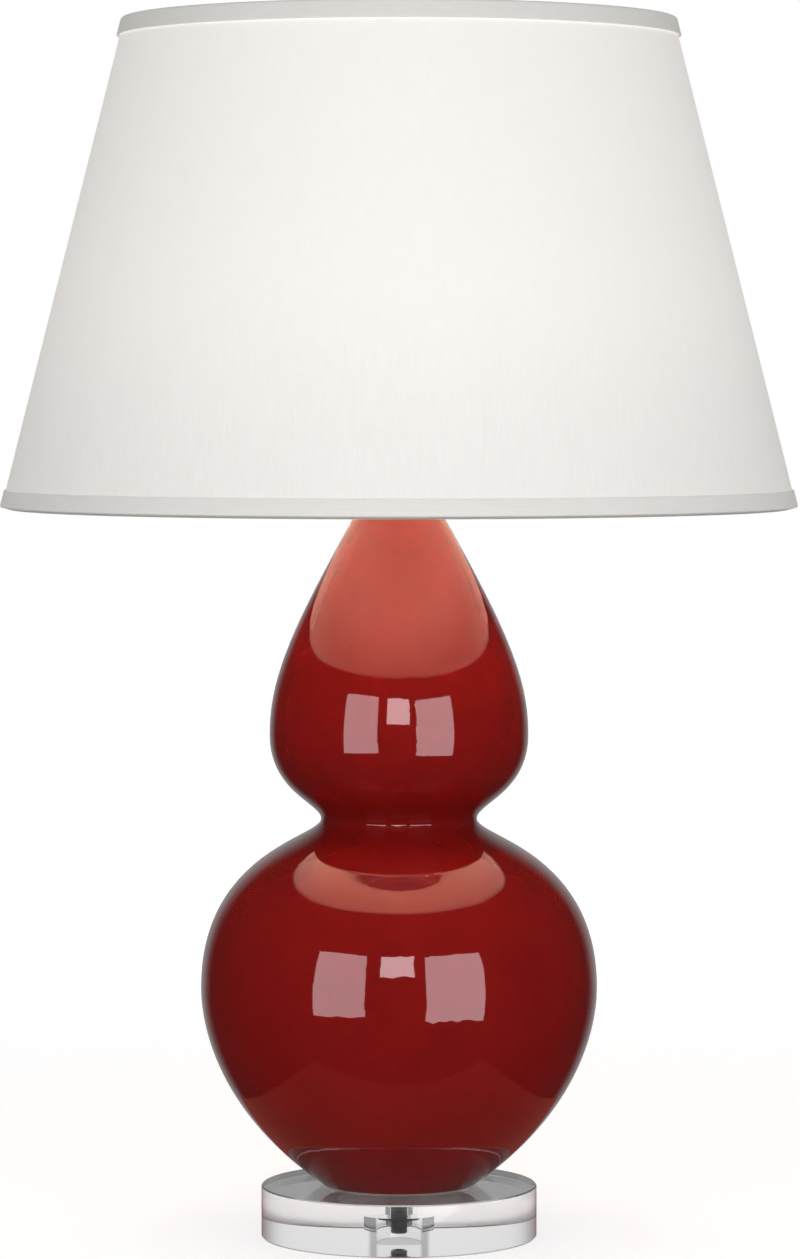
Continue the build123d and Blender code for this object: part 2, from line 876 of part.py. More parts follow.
def shade_fabric():
    low, high = shade_bottom + trim_cloth + layer_gap, shade_top - trim_cloth - layer_gap
    return shade_band(fabric_depth, fabric_depth + fabric_thickness, low, high)


def shade_liner():
    """Stiff sheet that the fabric is laid on."""
    low, high = shade_bottom + trim_cloth + layer_gap, shade_top - trim_cloth - layer_gap
    return shade_band(liner_depth, liner_depth + liner_thickness, low, high)


def wire_level(rim, way):
    """Height of a ring's middle, just inside one rim of the shade."""
    return rim + way * (trim_cloth + layer_gap + shade_wire / 2)


def shade_ring(rim, way, extra=0.0):
    """Wire ring inside one rim; way is 1 above the lower rim and -1 below the upper."""
    level = wire_level(rim, way)
    return Pos(0, 0, level) * Torus(shade_radius(level, wire_depth), shade_wire / 2 + extra)


def shade_trim(rim, way):
    """Folded cloth band: a face outside, a fold over the rim and a narrow leg inside the wire."""
    fold = rim + way * trim_cloth
    face_end, leg_end = rim + way * trim_height, rim + way * trim_leg_height
    leg_in = leg_depth + trim_cloth
    return turned(
        (shade_radius(rim), rim),
        (shade_radius(face_end), face_end),
        (shade_radius(face_end, trim_cloth), face_end),
        (shade_radius(fold, trim_cloth), fold),
        (shade_radius(fold, leg_depth), fold),
        (shade_radius(leg_end, leg_depth), leg_end),
        (shade_radius(leg_end, leg_in), leg_end),
        (shade_radius(rim, leg_in), rim),
    )


def arm_path():
    """Line of one spider arm: out from the hub, then up to the ring."""
    ring_level = wire_level(shade_top, -1)
    ring_radius = shade_radius(ring_level, wire_depth)
    hub_middle = plate_top + hub_thickness / 2
    return Plane.XZ * FilletPolyline(
        (hub_radius / 2, hub_middle),
        (ring_radius - arm_bend_inset, hub_middle),
        (ring_radius, ring_level),
        radius=arm_bend,
    )


def spider_arms(extra=0.0):
    """The arms that join the hub to the upper ring, one of them at the back."""
    path = arm_path()
    arm = sweep(Plane(origin=path @ 0, z_dir=path % 0) * Circle(shade_wire / 2 + extra), path)
    arm -= upright(hub_radius + seam_gap, plate_top - hub_thickness, plate_top + 2 * hub_thickness)
    arm -= shade_ring(shade_top, -1, seam_gap)
    arm = arm.solids().sort_by(SortBy.VOLUME)[-1]
    return Compound(children=[Rot(0, 0, 90 + 360 / arm_count * turn) * arm for turn in range(arm_count)])


def spider_hub():
    """Washer at the middle of the spider, free to turn on the stud."""
    bore = stud_diameter / 2 + hub_bore_clearance
    return tube(hub_radius, bore, plate_top, plate_top + hub_thickness)


def shade_top_trim():
    return shade_trim(shade_top, -1) - spider_arms(arm_notch_clearance)


# ---- Finial ----
def finial_insert():
    """Threaded insert that runs on the stud."""
    bore = stud_diameter / 2 + insert_clearance
    return tube(insert_radius, bore, finial_level, finial_level + insert_length)


def finial():
    """Turned finial: skirt, waist and ball, bored from below for its insert."""
    waist_low = finial_level + finial_skirt_height
    waist_high = finial_level + finial_waist_height
    ball_middle = finial_level + finial_height - finial_ball_radius
    body = turned(
        (0, finial_level),
        (finial_skirt_radius, finial_level),
        (finial_skirt_radius, finial_level + finial_skirt_height / 2),
        (finial_waist_radius, waist_low),
        (finial_waist_radius, waist_high),
        (finial_waist_radius, ball_middle),
        (0, ball_middle),
    )
    body += Pos(0, 0, waist_high) * Torus(finial_waist_radius, finial_skirt_height / 2)
    body += Pos(0, 0, ball_middle) * Sphere(finial_ball_radius)
    bore = upright(insert_radius + insert_clearance, finial_level, finial_level + insert_length + insert_clearance)
    return body - bore


pieces = {
    "base_disc": base_disc(),
    "base_washer": base_washer(),
    "base_lock_washer": base_lock_washer(),
    "base_nut": base_nut(),
    "lamp_rod": lamp_rod(),
    "gourd_body": gourd_body(),
    "cord_bushing": cord_bushing(),
    "neck_ring": neck_ring(),
    "vase_cap": vase_cap(),
    "neck_tube": neck_tube(),
    "harp_saddle": harp_saddle(),
    "harp_loop": harp_loop(),
    "harp_top_plate": harp_top_plate(),
    "harp_stud": harp_stud(),
    "harp_ferrule_left": harp_ferrule(-1),
    "harp_ferrule_right": harp_ferrule(1),
    "socket_cap": socket_cap(),
    "socket_set_screw": socket_set_screw(),
    "socket_shell": socket_shell(),
    "socket_sleeve": socket_sleeve(),
    "socket_interior": socket_interior(),
    "terminal_screws": terminal_screws(),
    "screw_shell": screw_shell(),
    "centre_contact": centre_contact(),
    "switch_bushing": switch_bushing(),
    "switch_shaft": switch_shaft(),
    "switch_knob": switch_knob(),
    "bulb_contact": bulb_contact(),
    "bulb_insulator": bulb_insulator(),
    "bulb_screw_base": bulb_screw_base(),
    "bulb_glass": bulb_glass(),
    "shade_fabric": shade_fabric(),
    "shade_liner": shade_liner(),
    "shade_top_trim": shade_top_trim(),
    "shade_bottom_trim": shade_trim(shade_bottom, 1),
    "shade_top_ring": shade_ring(shade_top, -1),
    "shade_bottom_ring": shade_ring(shade_bottom, 1),
    "spider_arms": spider_arms(),
    "spider_hub": spider_hub(),
    "finial_insert": finial_insert(),
    "finial": finial(),
}

for name, shape in pieces.items():
    write(name, shape)

print("bulb lift", round(bulb_turns * bulb_thread_pitch, 3), "finial lift", round(finial_turns * finial_thread_pitch, 3))
bore = bushing_plane()
print("cord bore at", bore.origin, "pointing", bore.z_dir)
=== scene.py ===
# %% [markdown]
# # A double gourd lamp, dressed for its photograph
#
# The lamp arrives from the CAD side as a fixed frame: forty-one real pieces, each in its place, in metres.
# Their shapes are finished. What is still missing is everything that is soft, and everything that light
# does to the lamp: the glaze, the clear base, the metals, and the cloth of the shade.
#
# The cloth is modelled again here, because a rigid solid can't show a lapped seam or a tape's folded edge.
# One washer is replaced by a copy that lies on a film of air. All other pieces keep their own mesh and get
# a better finish.

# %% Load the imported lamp
import bmesh
import bpy
from math import atan2, cos, pi, radians, sin, sqrt
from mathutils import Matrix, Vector


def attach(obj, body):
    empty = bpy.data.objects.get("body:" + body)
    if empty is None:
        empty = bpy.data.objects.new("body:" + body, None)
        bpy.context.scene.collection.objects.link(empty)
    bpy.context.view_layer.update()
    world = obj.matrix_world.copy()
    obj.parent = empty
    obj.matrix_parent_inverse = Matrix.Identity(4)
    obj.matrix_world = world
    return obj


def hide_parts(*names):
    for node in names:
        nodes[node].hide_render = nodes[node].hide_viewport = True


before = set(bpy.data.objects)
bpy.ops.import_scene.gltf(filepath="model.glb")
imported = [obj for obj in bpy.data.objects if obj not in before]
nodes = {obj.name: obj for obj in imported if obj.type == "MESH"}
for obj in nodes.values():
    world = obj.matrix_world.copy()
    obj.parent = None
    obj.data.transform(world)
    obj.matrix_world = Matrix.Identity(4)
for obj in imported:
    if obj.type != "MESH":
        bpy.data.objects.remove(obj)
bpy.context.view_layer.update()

# %% [markdown]
# ## The camera
#
# The photograph was taken from far away with a long lens, a little above the middle of the lamp. The
# ellipses of the base and of the shade's two rims give its height: it looks down by under three degrees.
# The sensor's long side is 36 mm, so the lens is the focal length in pixels scaled by 36 over 1259.

# %% Stand the camera where the photographer stood
PHOTO_HEIGHT = 1259
FOCAL_PIXELS = 5146.0
SENSOR = 36.0
CLIP_NEAR, CLIP_FAR = 0.05, 60.0
CAMERA_PLACE = Vector((0.0006, -3.119, 0.5232))
CAMERA_PITCH = 2.813

studio = bpy.context.scene

def placed(name, data):
    """Puts an object with this data in the studio."""
    thing = bpy.data.objects.new(name, data)
    studio.collection.objects.link(thing)
    return thing

camera_data = bpy.data.cameras.new("photographer")
camera_data.sensor_fit = "AUTO"
camera_data.sensor_width = SENSOR
camera_data.lens = FOCAL_PIXELS * SENSOR / PHOTO_HEIGHT
camera_data.clip_start, camera_data.clip_end = CLIP_NEAR, CLIP_FAR
camera = placed("photographer", camera_data)
camera.location = CAMERA_PLACE
camera.rotation_euler = (radians(90 - CAMERA_PITCH), 0, 0)
studio.camera = camera
studio.view_settings.view_transform = "Standard"
print("lens", round(camera_data.lens, 2), "mm")

# %% [markdown]
# ## Nodes written as Python
#
# A material is a small network of nodes, and most of it is arithmetic. Written out by hand, that takes a
# line for every node and another for every link. Two small classes make it read like ordinary Python:
# a `Signal` wraps one output socket and knows the usual operators, and a `Recipe` owns the network and
# adds any other node in one call, given its type, its settings, and the values or links of its sockets.

# %% A socket that Python can do sums with
class Signal:
    """One output of a node network. Sums on it add Math or Vector Math nodes."""

    def __init__(self, recipe, socket):
        self.recipe, self.socket = recipe, socket

    def math(self, operation, *values):
        sockets = dict(enumerate(values))
        return self.recipe.add("ShaderNodeMath", {"operation": operation}, sockets)

    def __add__(self, other): return self.math("ADD", self, other)
    def __radd__(self, other): return self.math("ADD", other, self)
    def __sub__(self, other): return self.math("SUBTRACT", self, other)
    def __rsub__(self, other): return self.math("SUBTRACT", other, self)
    def __mul__(self, other): return self.math("MULTIPLY", self, other)
    def __rmul__(self, other): return self.math("MULTIPLY", other, self)
    def __pow__(self, other): return self.math("POWER", self, other)
    def __gt__(self, other): return self.math("GREATER_THAN", self, other)
    def __lt__(self, other): return self.math("LESS_THAN", self, other)
    def __abs__(self): return self.math("ABSOLUTE", self)
    def sine(self): return self.math("SINE", self)
    def either(self, other): return self.math("MAXIMUM", self, other)

    def stretched(self, x, y, z):
        """A place scaled along X, Y and Z. A pattern on it gets shorter where the factor is high."""
        return self.recipe.add("ShaderNodeVectorMath", {"operation": "MULTIPLY"}, {0: self, 1: (x, y, z)})

    def parts(self):
        """X, Y and Z of a vector."""
        return [self.recipe.add("ShaderNodeSeparateXYZ", {}, {0: self}, i) for i in range(3)]

    def ramp(self, low, high, from_value=0.0, to_value=1.0):
        """Smooth step from low to high."""
        settings = {"interpolation_type": "SMOOTHSTEP"}
        sockets = {0: self, 1: low, 2: high, 3: from_value, 4: to_value}
        return self.recipe.add("ShaderNodeMapRange", settings, sockets)

# %% A network of nodes
class Recipe:
    """The node network of a material, a light or the world."""

    def __init__(self, tree):
        self.tree = tree

    def add(self, kind, settings, sockets, out=0):
        node = self.tree.nodes.new(kind)
        for name, value in settings.items():
            setattr(node, name, value)
        for key, value in sockets.items():
            self.feed(node.inputs[key], value)
        return Signal(self, node.outputs[out])

    def feed(self, socket, value):
        if isinstance(value, Signal):
            self.tree.links.new(value.socket, socket)
        else:
            socket.default_value = value

    def ray(self, question):
        """What kind of ray asks, such as Is Camera Ray, or how often it has been mirrored."""
        return self.add("ShaderNodeLightPath", {}, {}, question)

    def object_place(self): return self.add("ShaderNodeTexCoord", {}, {}, "Object")

    def noise(self, place, scale, detail=3.0, roughness=0.5):
        sockets = {"Vector": place, "Scale": scale, "Detail": detail, "Roughness": roughness}
        return self.add("ShaderNodeTexNoise", {}, sockets, "Fac")

    def round_the_axis(self):
        """Angle round the lamp's axis, distance from it, and height, in Object coordinates."""
        x, y, z = self.object_place().parts()
        angle = self.add("ShaderNodeMath", {"operation": "ARCTAN2"}, {0: y, 1: x})
        return angle, (x * x + y * y) ** 0.5, z

    def joined(self, x, y, z=0.0):
        return self.add("ShaderNodeCombineXYZ", {}, {0: x, 1: y, 2: z})

    def colour(self, share, first, second):
        """Colour that goes from first to second as share goes from 0 to 1."""
        if not isinstance(first, Signal):
            first = (*first, 1)
        if not isinstance(second, Signal):
            second = (*second, 1)
        settings = {"data_type": "RGBA", "clamp_factor": True}
        return self.add("ShaderNodeMix", settings, {0: share, 6: first, 7: second}, 2)

    def shader(self, share, first, second):
        """Shader that goes from first to second as share goes from 0 to 1."""
        return self.add("ShaderNodeMixShader", {}, {0: share, 1: first, 2: second})

    def emission(self, colour, strength):
        return self.add("ShaderNodeEmission", {}, {"Color": colour, "Strength": strength})

# %% A finish: one material with a Principled shader
class Finish(Recipe):
    """A material named after what it is, with the constants of its shader."""

    def __init__(self, name, **constants):
        self.material = bpy.data.materials.new(name)
        self.material.use_nodes = True
        super().__init__(self.material.node_tree)
        self.surface = self.tree.nodes["Principled BSDF"]
        for name, value in constants.items():
            self.surface.inputs[name.replace("_", " ")].default_value = value

    def wear(self, **inputs):
        """Feeds the shader's sockets that change over the surface."""
        for name, value in inputs.items():
            self.feed(self.surface.inputs[name.replace("_", " ")], value)

    def bump(self, height, distance, strength=1.0):
        """Relief of a height signal, distance metres for a height of 1."""
        sockets = {"Height": height, "Distance": distance, "Strength": strength}
        self.wear(Normal=self.add("ShaderNodeBump", {}, sockets, "Normal"))

# %% [markdown]
# ## The white room
#
# The lamp stands in front of plain white. To the camera, and through the clear base, the world is simply
# white. To a shiny surface it isn't: the glaze shows that the room in front of the lamp was dark, with
# a grey backdrop behind it and a dim ceiling. Light Path nodes tell these rays apart. A ray that the glaze
# has mirrored into the clear base sees the room's sides a little darker than its back.

# %% The world
WHITE = (1, 1, 1, 1)
BACKGROUND = 1.0
BACKGROUND_THROUGH = 0.80
SIDES_THROUGH, SIDES_EDGE = 0.45, (0.3, 0.75)
ROOM_LIGHT, DARK_ROOM = 0.34, 0.015
BACKDROP_MIRRORED, BACKDROP_EDGE = 0.30, (0.77, 1.0)
CEILING_MIRRORED, CEILING_EDGE = 0.12, (0.86, 0.97)

world = bpy.data.worlds.new("white_room")
studio.world = world
world.use_nodes = True
room = Recipe(world.node_tree)
_, away, upwards = room.add("ShaderNodeTexCoord", {}, {}, "Generated").parts()
is_camera, is_glossy = room.ray("Is Camera Ray"), room.ray("Is Glossy Ray")
is_through, is_mirrored = room.ray("Is Transmission Ray"), room.ray("Glossy Depth") > 0.5
backdrop = away.ramp(*BACKDROP_EDGE, DARK_ROOM, BACKDROP_MIRRORED)
ceiling = upwards.ramp(*CEILING_EDGE, 0.0, CEILING_MIRRORED)
around = is_glossy * (backdrop + ceiling) + (1 - is_glossy) * ROOM_LIGHT
sides = away.ramp(*SIDES_EDGE, SIDES_THROUGH, BACKGROUND_THROUGH)
clear = is_mirrored * sides + (1 - is_mirrored) * BACKGROUND_THROUGH
unseen = is_through * clear + (1 - is_through) * around
background = world.node_tree.nodes["Background"]
room.feed(background.inputs["Color"], WHITE)
room.feed(background.inputs["Strength"], is_camera * BACKGROUND + (1 - is_camera) * unseen)
print("room light", ROOM_LIGHT, "and", len(world.node_tree.nodes), "nodes")

# %% [markdown]
# ## The floor
#
# The picture ends just under the base. The floor is white too, and keeps the lamp's soft shadow. It is a
# lit grey with an even white laid over it, so that away from the shadow the two add up to white and no
# horizon shows. It lies a hair under the lamp and is clear from below, so a camera there sees the base.
#
# Seen through the clear disc, the floor carries a painted shadow: it is darker under the disc than behind
# it, and a small painted pool of light brightens it again under the bore. A ray that was mirrored on its
# way sees a painted shadow under the disc too. The glaze mirrors only a small square of the floor, in the
# dim red that the lamp throws down, and dark room beyond. That square's two front corners are what makes
# the dark triangles low on the ceramic.

# %% A large flat sheet
FLOOR_SIZE = 14.0
FLOOR_DEPTH = 0.0002

floor_mesh = bpy.data.meshes.new("floor")
sheet = bmesh.new()
bmesh.ops.create_grid(sheet, x_segments=1, y_segments=1, size=FLOOR_SIZE / 2)
bmesh.ops.translate(sheet, verts=sheet.verts, vec=(0, 0, -FLOOR_DEPTH))
sheet.to_mesh(floor_mesh)
sheet.free()
floor = placed("floor", floor_mesh)
floor.visible_shadow = False
print("floor", FLOOR_SIZE, "m wide")

# %% Its paint
LIT_PLAIN, LIT_SEEN, LIT_THROUGH = (0.33, 0.33, 0.33), (0.5, 0.5, 0.5), (0.8, 0.8, 0.8)
NEAR_WHITE, FAR_WHITE, WHITE_REACH = 0.70, 0.86, (0.3, 3.0)
DISC_EDGE = (0.082, 0.11)
# Painted shadow: seen through the disc, the floor is darker under it than behind it.
PAINTED_SHADOW_UNDER, WHITE_BEHIND = 0.09, 0.52
# Painted shadow for mirrored rays: the floor is darker under the disc than behind it.
MIRRORED_PAINTED_SHADOW, MIRRORED_BEHIND = 0.05, 0.30
# Painted light: seen through the bore, the floor is brighter.
WELL_RADIUS, PAINTED_LIGHT_WELL = 0.0141, 0.30
SQUARE_REACH, SQUARE_START = 0.19, 0.084
SQUARE_GLOW = (0.18, 0.05, 0.04, 1)

floor_paint = bpy.data.materials.new("white_floor")
floor_paint.use_nodes = True
floor_mesh.materials.append(floor_paint)
paint = Recipe(floor_paint.node_tree)
paint.tree.nodes.remove(paint.tree.nodes["Principled BSDF"])
is_camera, is_glossy = paint.ray("Is Camera Ray"), paint.ray("Is Glossy Ray")
is_through, is_mirrored = paint.ray("Is Transmission Ray"), paint.ray("Glossy Depth") > 0.5
_, distance, _ = paint.round_the_axis()
x, y, _ = paint.object_place().parts()

tone = paint.colour(is_through, paint.colour(is_camera, LIT_PLAIN, LIT_SEEN), LIT_THROUGH)
lit = paint.add("ShaderNodeBsdfDiffuse", {}, {"Color": tone})
seen = distance.ramp(*WHITE_REACH, NEAR_WHITE, FAR_WHITE)
# Painted shadow under the disc, and a painted pool of light under the bore, for rays through the disc.
through = distance.ramp(*DISC_EDGE, PAINTED_SHADOW_UNDER, WHITE_BEHIND) + (distance < WELL_RADIUS) * PAINTED_LIGHT_WELL
even = paint.emission(WHITE, is_camera * seen + is_through * through)
shown = paint.add("ShaderNodeAddShader", {}, {0: lit, 1: even})
# Painted shadow under the disc, as a mirrored ray sees the floor.
beside = paint.emission(WHITE, distance.ramp(*DISC_EDGE, MIRRORED_PAINTED_SHADOW, MIRRORED_BEHIND))
shown = paint.shader(is_mirrored, shown, beside)
in_square = (abs(x) < SQUARE_REACH) * (abs(y) < SQUARE_REACH) * (distance > SQUARE_START)
nothing = paint.add("ShaderNodeBsdfTransparent", {}, {})
glazed = paint.shader(in_square, nothing, paint.emission(SQUARE_GLOW, 1.0))
shown = paint.shader(is_glossy * (1 - is_through), shown, glazed)
from_below = paint.add("ShaderNodeNewGeometry", {}, {}, "Backfacing")
shown = paint.shader(from_below, shown, nothing)
paint.feed(paint.tree.nodes["Material Output"].inputs["Surface"], shown)
print("floor paint of", len(paint.tree.nodes), "nodes")

# %% [markdown]
# ## The lights
#
# Every light of this photograph is written on the glaze: two tall softboxes to the left and right of the
# camera, and a small one above it. Their edges, followed from the glaze by the law of reflection, give
# the directions. Three large, soft lights with no reflection of their own fill the sides and the back, as
# white walls do. In a mirror image of a mirror image, all of them are nearly out. A light is given by its
# radiance, and a square metre of it needs about four watts for a radiance of 1.

# %% Softboxes and fill
WATTS = 4.0
TWICE_MIRRORED, TWICE_EDGE = 0.08, (1.2, 1.8)

def softbox(name, azimuth, reach, middle, width, height, radiance, mirrored=True):
    """Upright rectangle that looks at the lamp's axis. Azimuth 0 is the camera's side, 90 its right."""
    light = bpy.data.lights.new(name, "AREA")
    light.shape, light.size, light.size_y = "RECTANGLE", width, height
    light.energy = radiance * width * height * WATTS
    light.use_nodes = True
    glow = Recipe(light.node_tree)
    strength = glow.ray("Glossy Depth").ramp(*TWICE_EDGE, 1.0, TWICE_MIRRORED)
    glow.feed(light.node_tree.nodes["Emission"].inputs["Strength"], strength)
    box = placed(name, light)
    side = radians(azimuth)
    box.location = (reach * sin(side), -reach * cos(side), middle)
    box.rotation_euler = (radians(90), 0, side)
    box.visible_camera = False
    box.visible_glossy = mirrored
    box.visible_transmission = False

softbox("left_softbox", -33.9, 1.8, 0.39, 0.97, 1.22, 2.0)
softbox("right_softbox", 31.9, 1.8, 0.32, 1.09, 1.31, 2.1)
softbox("top_softbox", -0.7, 1.8, 0.75, 0.61, 0.46, 3.3)
softbox("left_wall", -100, 2.2, 0.90, 1.6, 1.3, 0.6, mirrored=False)
softbox("right_wall", 100, 2.2, 0.90, 1.6, 1.3, 0.6, mirrored=False)
softbox("back_wall", 180, 2.4, 0.80, 2.0, 1.5, 0.8, mirrored=False)
print(len(bpy.data.lights), "lights")

# %% [markdown]
# ## Oxblood glaze
#
# The body is slip-cast stoneware under a thick, glassy, deep red glaze. Real copper red isn't even: it
# thins on the way up to an edge, pools and darkens in the waist, and has a faint mottle in its depth.
# Two glossy layers make it: the glazed clay itself, and a clear coat over it that carries the sharp
# reflections. The foot ring and the inside, which no one sees, stay bare clay.

# %% Glaze and bare clay
FOOT_LEVEL, WAIST_LEVEL = 0.0315, 0.255
POOL_EDGE = (0.004, 0.022)
RIM_EDGE = (FOOT_LEVEL + 0.0008, FOOT_LEVEL + 0.0035)
CLAY_EDGE = (FOOT_LEVEL + 0.0004, FOOT_LEVEL + 0.0009)
MOUTH_EDGE = (0.450, 0.4542)
GLAZE, GLAZE_DEEP, GLAZE_THIN = (0.235, 0.008, 0.0065), (0.15, 0.0045, 0.004), (0.30, 0.02, 0.012)
BARE_CLAY, DARK_CLAY = (0.62, 0.55, 0.47), (0.5, 0.43, 0.36)
MIRROR_TINT = (1.0, 0.48, 0.55, 1)
MOTTLE_SCALE, FINE_SCALE, MOTTLE_EDGE = 26.0, 150.0, (0.35, 0.68)
MOTTLE_SHARE, POOL_SHARE, THIN_SHARE = 0.35, 0.5, 0.6
CLAY_SCALE, WIPE_SCALE, RIPPLE_SCALE, RIPPLE_DEPTH = 420.0, 14.0, 38.0, 0.00012
GLOSS, WIPED_ROUGH, CLAY_ROUGH = 0.03, 0.03, 0.75

glaze = Finish("red_glaze", IOR=1.55, Specular_Tint=MIRROR_TINT, Coat_Roughness=0.02, Coat_IOR=1.58)
place = glaze.object_place()
_, _, height = glaze.round_the_axis()
mottle = glaze.noise(place, MOTTLE_SCALE, 4.0, 0.55)
fine_mottle = glaze.noise(place, FINE_SCALE, 2.0)
depth = (mottle * 0.7 + fine_mottle * 0.3).ramp(*MOTTLE_EDGE)
red = glaze.colour(depth * MOTTLE_SHARE, GLAZE, GLAZE_DEEP)
pooled = 1 - abs(height - WAIST_LEVEL).ramp(*POOL_EDGE)
red = glaze.colour(pooled * POOL_SHARE, red, GLAZE_DEEP)
rim = 1 - height.ramp(*RIM_EDGE)
mouth = height.ramp(*MOUTH_EDGE)
red = glaze.colour(rim.either(mouth) * THIN_SHARE, red, GLAZE_THIN)
underside = 1 - height.ramp(*CLAY_EDGE)
clay = glaze.colour(glaze.noise(place, CLAY_SCALE, 4.0).ramp(0.3, 0.7), BARE_CLAY, DARK_CLAY)
wiped = glaze.noise(place.stretched(1, 1, 0.4), WIPE_SCALE, 3.0)
gloss = GLOSS + wiped * WIPED_ROUGH
glaze.wear(Base_Color=glaze.colour(underside, red, clay))
glaze.wear(Roughness=gloss + underside * CLAY_ROUGH, Coat_Weight=1 - underside)
glaze.bump(glaze.noise(place, RIPPLE_SCALE, 2.0), RIPPLE_DEPTH)
print("glaze from", FOOT_LEVEL, "m up")

# %% [markdown]
# ## Clear acrylic
#
# The base is a disc turned from cast acrylic and polished all round. Clear plastic is all edge and
# reflection: its own colour hardly counts, but its index of refraction of 1.49 does. The hole and the
# counterbore are flame polished, and only the narrow edge breaks at the rims are left satin. A satin edge
# gathers light from the whole disc, and a little emission stands for that.

# %% Clear acrylic
DISC_MIDDLE = 0.01575
BORE_EDGE, BORE_CEILING = (0.0144, 0.0148), (0.0161, 0.0166)
BREAK_RADIUS, BREAK_RISE = (0.0830, 0.0832), (0.0148, 0.0150)
CLEAR, CLEAR_SECOND = (0.975, 0.982, 0.985), (0.985, 0.985, 0.988)
BREAK_GLOW = (0.07, 0.068, 0.068)
POLISH, HAZE_ROUGH, BORE_ROUGH, BREAK_ROUGH = 0.004, 0.01, 0.01, 0.3
HAZE_SCALE, HAZE_DEPTH = 30.0, 0.0000003

acrylic = Finish("clear_acrylic", Transmission_Weight=1.0, IOR=1.49, Emission_Strength=1.0)
_, radius, height = acrylic.round_the_axis()
bored = (1 - radius.ramp(*BORE_EDGE)) * (1 - height.ramp(*BORE_CEILING))
broken = radius.ramp(*BREAK_RADIUS) * abs(height - DISC_MIDDLE).ramp(*BREAK_RISE)
haze = acrylic.noise(acrylic.object_place(), HAZE_SCALE, 3.0)
acrylic.wear(Roughness=POLISH + haze * HAZE_ROUGH + bored * BORE_ROUGH + broken * BREAK_ROUGH)
acrylic.wear(Base_Color=acrylic.colour(haze, CLEAR, CLEAR_SECOND))
acrylic.wear(Emission_Color=acrylic.colour(broken, (0, 0, 0), BREAK_GLOW))
acrylic.bump(haze, HAZE_DEPTH)
print("edge breaks from", BREAK_RADIUS[0], "m out")

# %% [markdown]
# ## Metals
#
# Nickel on the fittings, zinc on the threaded pipe and its nuts, brass on the contacts and drawn aluminium
# on the screw shells. What tells them apart, besides colour, is the trace of how they were made: turned
# parts carry fine rings round their axis, drawn parts fine lines along it, rolled sheet a faint grain.
# One helper makes them all, and a thread is a helix written as a sine of height and angle.

# %% Helpers for metals
GRAIN_SCALE, GRAIN_ROUGH, GRAIN_DEPTH = 900.0, 0.1, 0.00001
MARKS_SCALE, MARKS_ROUGH, MARKS_EDGE = 60.0, 0.12, (0.35, 0.75)
THREAD_FADE = 0.0003

def metal(name, bright, dull, roughness, grain):
    """Metal with a grain stretched by the given factors, and handling marks."""
    finish = Finish(name, Metallic=1.0)
    place = finish.object_place()
    lines = finish.noise(place.stretched(*grain), GRAIN_SCALE, 3.0, 0.6)
    marks = finish.noise(place, MARKS_SCALE, 4.0, 0.6)
    finish.wear(Base_Color=finish.colour(marks.ramp(*MARKS_EDGE), bright, dull))
    finish.wear(Roughness=roughness + (marks - 0.5) * MARKS_ROUGH + (lines - 0.5) * GRAIN_ROUGH)
    finish.bump(lines, GRAIN_DEPTH)
    return finish

def threaded(finish, pitch, low, high, radius, relief):
    """Cuts a thread instead of a grain into a finish, between two heights and outside a radius."""
    angle, distance, height = finish.round_the_axis()
    turn = (height * (2 * pi / pitch) - angle).sine()
    inside = height.ramp(low - THREAD_FADE, low) * (1 - height.ramp(high, high + THREAD_FADE))
    cut = inside * distance.ramp(radius - 2 * THREAD_FADE, radius - THREAD_FADE)
    finish.bump(turn * cut, relief)

# %% The metals
INCH = 0.0254

nickel = metal("nickel", (0.78, 0.74, 0.68), (0.66, 0.62, 0.57), 0.20, (0.15, 0.15, 1.6))
zinc = metal("zinc_steel", (0.58, 0.59, 0.59), (0.42, 0.43, 0.43), 0.36, (1, 1, 0.2))
brass = metal("contact_brass", (0.78, 0.58, 0.27), (0.60, 0.43, 0.20), 0.28, (0.3, 0.3, 1.0))
aluminium = metal("bulb_aluminium", (0.72, 0.73, 0.74), (0.60, 0.61, 0.63), 0.26, (0.2, 0.2, 1.2))
threaded(zinc, pitch=INCH / 27, low=0.0053, high=0.4901, radius=0.0051, relief=0.00028)
threaded(aluminium, pitch=INCH / 7, low=0.5228, high=0.5410, radius=0.0128, relief=0.0006)
print(len(bpy.data.materials), "materials so far")

# %% [markdown]
# ## Plastics, rubber, paper and enamel
#
# The smaller parts: moulded nylon ring, rubber bushing, the insulating paper round the socket, black
# phenolic switch parts, the bulb's insulator, the white enamel on the shade's wires, and the stiff sheet
# behind its cloth. Each has a flat colour to the eye, so the work is in the skin: orange peel, a mould's
# fine grain, paper fibres, dust.

# %% A helper for moulded and painted parts
CLOUD_SCALE, CLOUD_SHARE, CLOUD_ROUGH = 35.0, 0.6, 0.14

def moulded(name, main, second, roughness, scale, relief, detail=3.0, **constants):
    """Plain finish with a cloudy colour and a skin of the given scale and relief."""
    finish = Finish(name, **constants)
    place = finish.object_place()
    skin = finish.noise(place, scale, detail, 0.55)
    cloud = finish.noise(place, CLOUD_SCALE, 3.0)
    share = (cloud * CLOUD_SHARE + skin * (1 - CLOUD_SHARE)).ramp(0.3, 0.7)
    finish.wear(Base_Color=finish.colour(share, main, second))
    finish.wear(Roughness=roughness + (cloud - 0.5) * CLOUD_ROUGH)
    finish.bump(skin, relief)
    return finish

